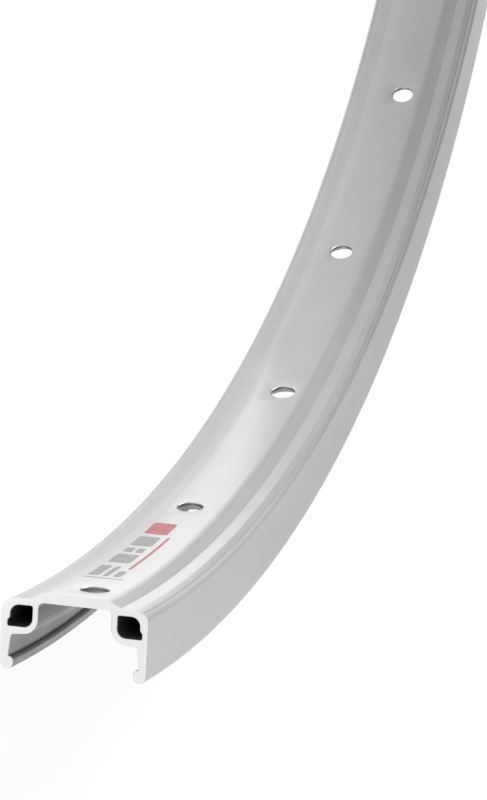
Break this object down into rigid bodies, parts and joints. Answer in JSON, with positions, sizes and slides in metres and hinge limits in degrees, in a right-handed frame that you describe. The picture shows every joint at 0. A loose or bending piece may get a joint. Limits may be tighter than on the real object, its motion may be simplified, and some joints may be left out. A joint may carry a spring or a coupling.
{
  "type": "bicycle rim",
  "caption": "Clincher bicycle rim: a hollow-chambered hoop with hooked side walls and drilled spoke bed, sawn open to show its section.",
  "frame": {"origin": "centre of the wheel, on the plane of the lower side wall that the hoop lies on", "axes": "+Z along the wheel's axis, up from the side wall the hoop lies on; +X and +Y lie in the wheel's plane, with the sawn gap centred halfway between them"},
  "size_m": [0.571, 0.571, 0.0245],
  "materials": {
    "rim_metal": "fine satin silver, bright bare metal where it is sawn"
  },
  "bodies": {
    "root": {"rim_hoop": "rim_metal"}
  },
  "joints": []
}
